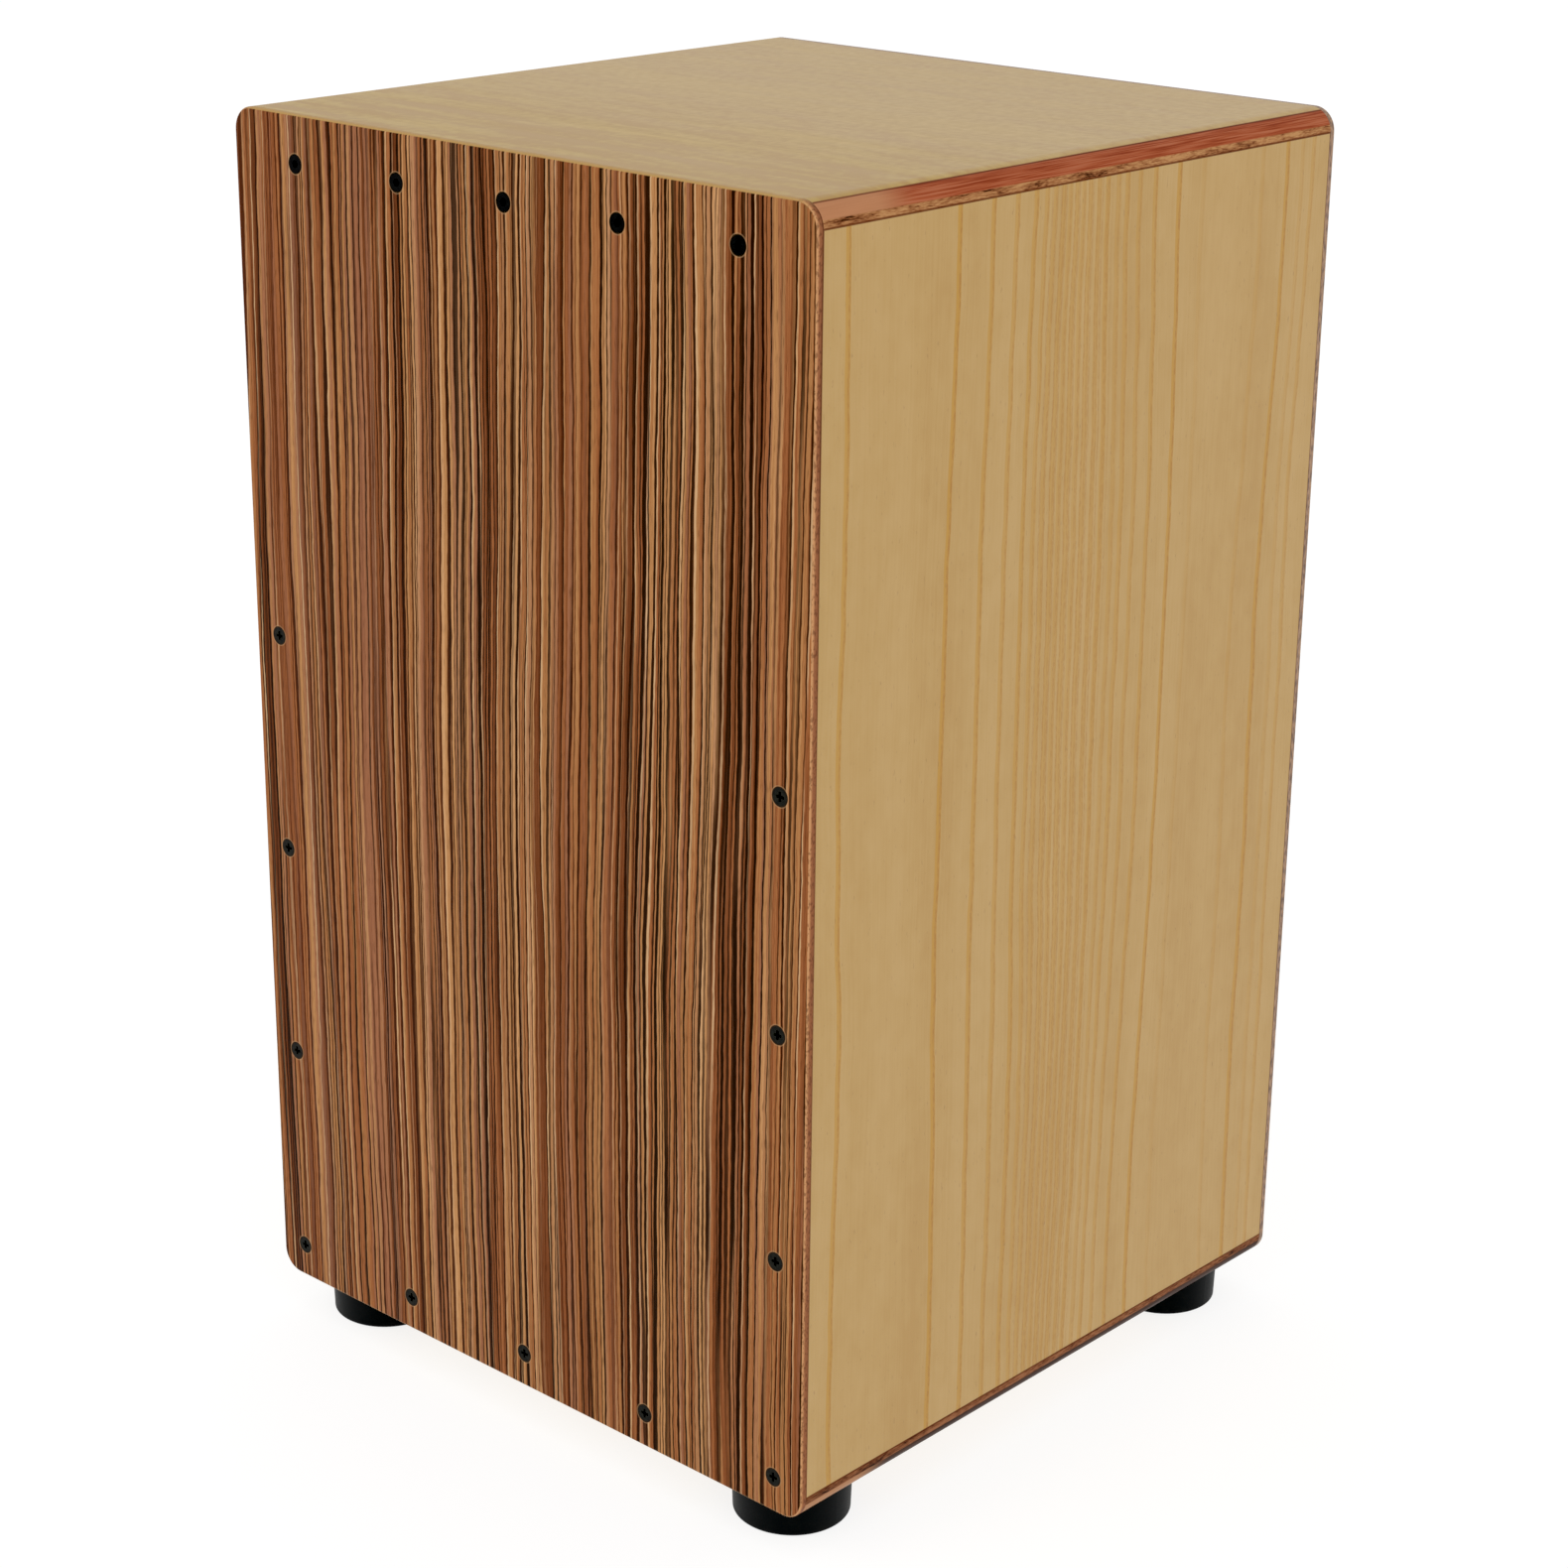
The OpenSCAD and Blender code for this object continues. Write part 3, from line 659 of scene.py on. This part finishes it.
def back_ply():
    """The back plate: pale ply with soft grain up the box and a grey-brown edge."""
    finish = Finish("back_ply")
    sway = finish.noise((50, 50, 150), seed=71.0, detail=1.0)
    x = finish.total((finish.x, 1.0), (sway, 14.0))
    grain = finish.combine(x, finish.y, finish.z)
    flame = finish.noise((9, 40, 260), seed=72.0, detail=2.0, place=grain)
    fibre = finish.noise((0.8, 40, 40), seed=73.0, detail=2.0, place=grain)
    wood = finish.ramp(
        finish.total((flame, 0.65), (fibre, 0.35)),
        (
            (0.34, paint(170, 128, 82)),
            (0.50, paint(190, 152, 106)),
            (0.66, paint(202, 168, 124)),
        ),
    )
    fleck = finish.noise((0.8, 0.8, 3), seed=74.0, detail=3.0)
    ply = finish.ramp(
        fleck,
        (
            (0.36, paint(92, 64, 46)),
            (0.50, paint(142, 108, 80)),
            (0.66, paint(168, 130, 96)),
        ),
    )
    depth = finish.math("SUBTRACT", BACK_BACK, finish.y)
    finish.bump(finish.total((fibre, 0.6), (flame, 0.4)), 0.03)
    return finish.set(
        Base_Color=finish.mix(finish.rise(depth, 0.25, 0.5), wood, ply),
        Roughness=finish.total((flame, 0.12), (1.0, 0.36)),
        Coat_Weight=0.15,
        Coat_Roughness=0.35,
    ).material


def raw_pine(name, along):
    """Planed softwood for the inner frame; its grain runs along the axis named."""
    finish = Finish(name)
    ring = finish.noise(along_grain(along, 7.0, 220.0), seed=81.0, detail=2.0)
    fibre = finish.noise(along_grain(along, 0.5, 26.0), seed=82.0, detail=2.0)
    wood = finish.ramp(
        finish.total((ring, 0.7), (fibre, 0.3)),
        (
            (0.36, paint(186, 140, 88)),
            (0.50, paint(214, 176, 124)),
            (0.64, paint(226, 194, 146)),
        ),
    )
    finish.bump(finish.total((fibre, 0.7), (ring, 0.3)), 0.05)
    return finish.set(
        Base_Color=wood,
        Roughness=finish.total((fibre, 0.2), (1.0, 0.55)),
    ).material


# ---- Metal and rubber ----


def metal(name, dark, bright, rough, metallic=1.0, shine=0.5):
    """A metal with mottled brightness and fine scratches."""
    finish = Finish(name)
    mottle = finish.noise((1.8, 1.8, 1.8), seed=91.0, detail=3.0)
    scratch = finish.noise((0.18, 1.2, 0.18), seed=92.0, detail=2.0)
    colour = finish.ramp(mottle, ((0.34, dark), (0.66, bright)))
    finish.bump(scratch, 0.006)
    return finish.set(
        Base_Color=colour,
        Metallic=metallic,
        Roughness=finish.total((scratch, 0.22), (mottle, 0.10), (1.0, rough)),
        Specular_IOR_Level=shine,
    ).material


def rubber():
    """Moulded black rubber with a fine matt texture and dusty scuffs low down."""
    finish = Finish("black_rubber")
    texture = finish.noise((0.5, 0.5, 0.5), seed=95.0, detail=2.0)
    scuff = finish.noise((6, 6, 3), seed=96.0, detail=3.0)
    low_down = finish.rise(finish.z, 3.5, 0.0)
    how_dusty = finish.total((low_down, 0.5), (1.0, 0.12))
    dust = finish.times(finish.rise(scuff, 0.45, 0.65), how_dusty)
    finish.bump(texture, 0.04)
    return finish.set(
        Base_Color=finish.mix(dust, paint(4, 7, 8), paint(24, 25, 24)),
        Roughness=finish.total((dust, 0.2), (texture, 0.12), (1.0, 0.42)),
        Specular_IOR_Level=0.12,
    ).material


# ---- Wound strings ----


def string_ends(side):
    """Lower and upper end of each string of a set, from the CAD ferrules and ball ends."""
    low_z, high_z = (in_mm(corner.z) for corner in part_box(f"{side}_strings"))
    sign = -1 if side == "left" else 1
    ferrules = loose_part_middles(f"{side}_string_ferrules")
    balls = [place for place in loose_part_middles("string_ball_ends") if place[0] * sign > 0]
    return [
        ((ferrule[0], ferrule[1], low_z), (ball[0], ball[1], high_z))
        for ferrule, ball in zip(ferrules, balls)
    ]


def add_wound_string(vertices, faces, low, high):
    """Adds a thin tube with a ridge for each turn of its winding."""
    run = high - low
    turn = run.to_track_quat("Z", "Y")
    rings = int(run.length / (WINDING_PITCH * MM)) * 2
    first = len(vertices)
    for ring in range(rings + 1):
        centre = low + run * (ring / rings)
        radius = STRING_RADIUS * MM * (1.0 if ring % 2 else WINDING_VALLEY)
        for corner in range(STRING_SIDES):
            angle = 2 * math.pi * corner / STRING_SIDES
            spoke = Vector((math.cos(angle), math.sin(angle), 0.0)) * radius
            vertices.append(centre + turn @ spoke)
    for ring in range(rings):
        for corner in range(STRING_SIDES):
            beside = (corner + 1) % STRING_SIDES
            here = first + ring * STRING_SIDES
            above = here + STRING_SIDES
            faces.append((here + corner, here + beside, above + beside, above + corner))
    bottom = [first + corner for corner in reversed(range(STRING_SIDES))]
    top = [first + rings * STRING_SIDES + corner for corner in range(STRING_SIDES)]
    faces.extend((bottom, top))


def add_mesh(name, vertices, faces, material):
    """A new object in the scene, with the material on it."""
    mesh = bpy.data.meshes.new(name)
    mesh.from_pydata(vertices, [], faces)
    mesh.materials.append(material)
    thing = bpy.data.objects.new(name, mesh)
    bpy.context.scene.collection.objects.link(thing)
    return thing


def wound_strings(side, material):
    """The four wound strings of a set, from their ferrules up to the anchor, as one mesh."""
    vertices, faces = [], []
    for low, high in string_ends(side):
        add_wound_string(vertices, faces, Vector(low) * MM, Vector(high) * MM)
    strings = add_mesh(f"{side}_wound_strings", vertices, faces, material)
    for face in strings.data.polygons:
        face.use_smooth = True
    return strings


# ---- Dress the CAD nodes ----


def dress(material, *names):
    for name in names:
        nodes[name].data.materials.clear()
        nodes[name].data.materials.append(material)


def both(pattern):
    """Names of the left and the right node of a pair."""
    return [pattern.format(side) for side in ("left", "right")]


dress(zebrano(), "tapa")
dress(side_veneer("light_veneer_right", SIDE_LINES, 2.0), "right_panel")
dress(side_veneer("light_veneer_left", turned_about(SIDE_LINES), 37.0), "left_panel")
top_layers = (TOP_CORE_DEPTH, RED_CORE, TAN_PLY)
# The bottom panel's dark core colour is painted shade on its edge that faces the floor
bottom_layers = (BOTTOM_CORE_DEPTH, SHADED_BROWN_CORE, BROWN_PLY)
dress(cap_veneer("light_veneer_top", BOX_TOP, TOP_SEAM, *top_layers, 14.0), "top_panel")
dress(cap_veneer("light_veneer_bottom", BOX_UNDER, LOW_SEAM, *bottom_layers, 27.0), "bottom_panel")
dress(back_ply(), "back_panel")

pine_across = raw_pine("inner_softwood_across", "x")
pine_upright = raw_pine("inner_softwood_upright", "z")
pine_deep = raw_pine("inner_softwood_deep", "y")
dress(pine_across, "front_top_rail", "front_bottom_rail", "back_top_batten", "back_bottom_batten")
dress(pine_upright, *both("front_{}_stile"), *both("back_{}_batten"))
dress(pine_deep, *both("top_{}_glue_strip"), *both("bottom_{}_glue_strip"))

painted = {"rough": 0.36, "metallic": 0.3}
black_steel = metal("black_bolts", paint(3, 3, 4), paint(12, 13, 13), shine=0.08, **painted)
dark_steel = metal("black_screws", paint(12, 13, 10), paint(32, 32, 26), shine=0.15, **painted)
zinc = metal("zinc_steel", paint(172, 174, 175), paint(192, 194, 196), rough=0.20)
brass = metal("brass_fittings", paint(190, 152, 84), paint(210, 174, 102), rough=0.18)
bronze = metal("wound_strings", paint(168, 118, 72), paint(204, 152, 98), rough=0.22)
dress(black_steel, *TOP_BOLTS)
dress(dark_steel, "tapa_screws")
dress(
    zinc,
    *both("{}_tension_bolt"),
    *both("{}_string_guide"),
    *both("{}_string_anchor"),
    "tension_bolt_washers",
    "guide_screws",
    "anchor_screws",
    "foot_washers",
    "foot_screws",
)
dress(
    brass,
    "threaded_inserts",
    "string_ball_ends",
    *both("{}_bolt_collar"),
    *both("{}_string_carriage"),
    *both("{}_string_ferrules"),
)
dress(bronze, *both("{}_strings"))
dress(rubber(), *both("front_{}_foot"), *both("back_{}_foot"))

for side in ("left", "right"):
    strings = wound_strings(side, bronze)
    anchor_end = middle(f"{side}_string_anchor")
    anchor_end.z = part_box(f"{side}_strings")[1].z
    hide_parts(f"{side}_strings")
    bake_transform(strings)


# ---- Studio ----


def studio_white():
    """Glowing white that takes faint shadows; seen from behind, it isn't there."""
    finish = Finish("studio_floor")
    side = finish.nodes.new("ShaderNodeNewGeometry")
    return finish.set(
        Alpha=finish.math("SUBTRACT", 1.0, side.outputs["Backfacing"]),
        Base_Color=(FLOOR_GREY, FLOOR_GREY, FLOOR_GREY, 1.0),
        Roughness=1.0,
        Specular_IOR_Level=0.0,
        Emission_Color=WHITE,
        Emission_Strength=FLOOR_GLOW,
    ).material


def make_floor():
    """A large round floor; from below, the box can be seen through it."""
    angles = [2 * math.pi * n / FLOOR_SIDES for n in range(FLOOR_SIDES)]
    rim = [(FLOOR_RADIUS * math.cos(angle), FLOOR_RADIUS * math.sin(angle), 0.0) for angle in angles]
    add_mesh("studio_floor", rim, [tuple(range(FLOOR_SIDES))], studio_white())


def make_world():
    """White light from all round."""
    world = bpy.data.worlds.new("studio_light")
    world.use_nodes = True
    background = world.node_tree.nodes["Background"]
    background.inputs["Color"].default_value = WHITE
    background.inputs["Strength"].default_value = WORLD_GLOW
    bpy.context.scene.world = world


def soft_light(name, place, width, power):
    """A square light that faces the target."""
    data = bpy.data.lights.new(name, "AREA")
    data.shape = "SQUARE"
    data.size = width
    data.energy = power
    light = bpy.data.objects.new(name, data)
    light.location = place
    light.rotation_mode = "QUATERNION"
    light.rotation_quaternion = (Vector(LIGHT_TARGET) - Vector(place)).to_track_quat("-Z", "Y")
    bpy.context.scene.collection.objects.link(light)


def make_camera():
    """The photograph's camera."""
    azimuth = math.radians(CAMERA_AZIMUTH)
    elevation = math.radians(CAMERA_ELEVATION)
    roll = math.radians(CAMERA_ROLL)
    back = Vector(
        (
            math.sin(azimuth) * math.cos(elevation),
            -math.cos(azimuth) * math.cos(elevation),
            math.sin(elevation),
        )
    )
    right = Vector((0, 0, 1)).cross(back).normalized()
    up = back.cross(right)
    tilted_right = right * math.cos(roll) + up * math.sin(roll)
    tilted_up = up * math.cos(roll) - right * math.sin(roll)
    data = bpy.data.cameras.new("camera")
    data.lens = CAMERA_LENS
    data.sensor_width = CAMERA_SENSOR
    camera = bpy.data.objects.new("camera", data)
    bpy.context.scene.collection.objects.link(camera)
    turn = Matrix((tilted_right, tilted_up, back)).transposed().to_4x4()
    camera.matrix_world = Matrix.Translation(CAMERA_PLACE) @ turn
    bpy.context.scene.camera = camera


def set_tones():
    """Plain tones, with the darkest ones deepened a little, as in the photograph."""
    picture = bpy.context.scene.view_settings
    picture.view_transform = "Standard"
    picture.use_curve_mapping = True
    picture.curve_mapping.black_level = (BLACK_LEVEL,) * 3
    picture.curve_mapping.update()


make_floor()
make_world()
for light in SOFT_LIGHTS:
    soft_light(*light)
make_camera()
set_tones()
